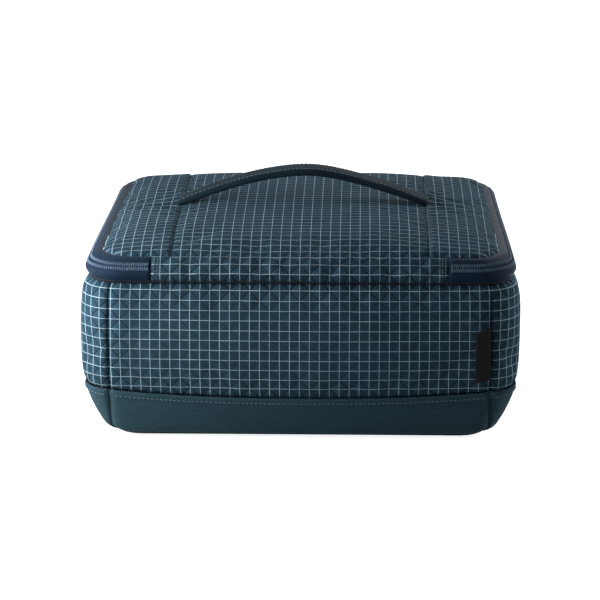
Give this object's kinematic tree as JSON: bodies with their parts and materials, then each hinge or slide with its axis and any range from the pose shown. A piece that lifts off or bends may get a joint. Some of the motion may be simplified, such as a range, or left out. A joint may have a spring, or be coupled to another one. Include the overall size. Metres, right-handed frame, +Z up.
{
  "type": "packing cube",
  "caption": "Padded soft-sided packing cube with a grid-cloth body, plain cloth boot, zip-round lid hinged on a cloth strip, and a carry strap across the lid.",
  "frame": {"origin": "middle of the flat base, on the surface it rests on", "axes": "+Z up, +X along the handle, -Y towards the side with the cloth hinge strip"},
  "size_m": [0.34, 0.311, 0.187],
  "materials": {
    "grid_cloth": "slate blue ripstop with a pale thread grid",
    "boot_cloth": "matt dark teal canvas",
    "zip_tape": "navy woven zip tape with a slight sheen",
    "zip_coil": "navy nylon coil",
    "foam": "grey closed-cell padding",
    "lining_cloth": "light grey plain-weave lining",
    "binding_tape": "black ribbed binding tape",
    "base_board": "black stiffener board",
    "handle_cloth": "dark slate smooth cloth",
    "label_cloth": "black woven label",
    "slider_metal": "dark lacquered zinc",
    "pull_rubber": "navy moulded rubber"
  },
  "bodies": {
    "body": {"front_wall": "grid_cloth", "back_wall": "grid_cloth", "left_wall": "grid_cloth", "right_wall": "grid_cloth", "front_boot": "boot_cloth", "back_boot": "boot_cloth", "left_boot": "boot_cloth", "right_boot": "boot_cloth", "base_panel": "boot_cloth", "base_board": "base_board", "front_padding": "foam", "back_padding": "foam", "left_padding": "foam", "right_padding": "foam", "wall_lining": "lining_cloth", "floor_lining": "lining_cloth", "floor_binding": "binding_tape", "rim_binding": "binding_tape", "side_label": "label_cloth", "lower_zip_tape": "zip_tape", "lower_zip_coil": "zip_coil"},
    "lid": {"upper_zip_tape": "zip_tape", "upper_zip_coil": "zip_coil", "hinge_strip": "grid_cloth", "hinge_lining": "lining_cloth", "lid_binding": "binding_tape", "lid_middle_panel": "grid_cloth", "lid_left_panel": "grid_cloth", "lid_right_panel": "grid_cloth", "lid_padding": "foam", "lid_lining": "lining_cloth", "handle_anchor_left": "handle_cloth", "handle_anchor_right": "handle_cloth"},
    "handle": {"handle_cover": "handle_cloth", "handle_core": "foam"},
    "slider_left": {"zip_slider_left": "slider_metal"},
    "slider_right": {"zip_slider_right": "slider_metal"},
    "pull_left": {"zip_pull_left": "pull_rubber"},
    "pull_right": {"zip_pull_right": "pull_rubber"}
  },
  "joints": [
    {"name": "lid_hinge", "type": "hinge", "parent": "body", "child": "lid", "pos_m": [0, -0.1475, 0.127], "axis": [1, 0, 0], "range_deg": [0, 180]},
    {"name": "handle_swing", "type": "hinge", "parent": "lid", "child": "handle", "pos_m": [0, 0, 0.16086], "axis": [1, 0, 0], "range_deg": [-60, 60], "stiffness_Nm_per_rad": 0.03},
    {"name": "slider_left_run", "type": "slide", "parent": "body", "child": "slider_left", "axis": [-1, 0, 0], "range_m": [0, 0.128]},
    {"name": "slider_right_run", "type": "slide", "parent": "body", "child": "slider_right", "axis": [1, 0, 0], "range_m": [0, 0.128]},
    {"name": "pull_left_swing", "type": "hinge", "parent": "slider_left", "child": "pull_left", "pos_m": [-0.006, 0.14517, 0.13857], "axis": [1, 0, 0], "range_deg": [0, 165]},
    {"name": "pull_right_swing", "type": "hinge", "parent": "slider_right", "child": "pull_right", "pos_m": [0.006, 0.14517, 0.13857], "axis": [1, 0, 0], "range_deg": [0, 165]}
  ]
}
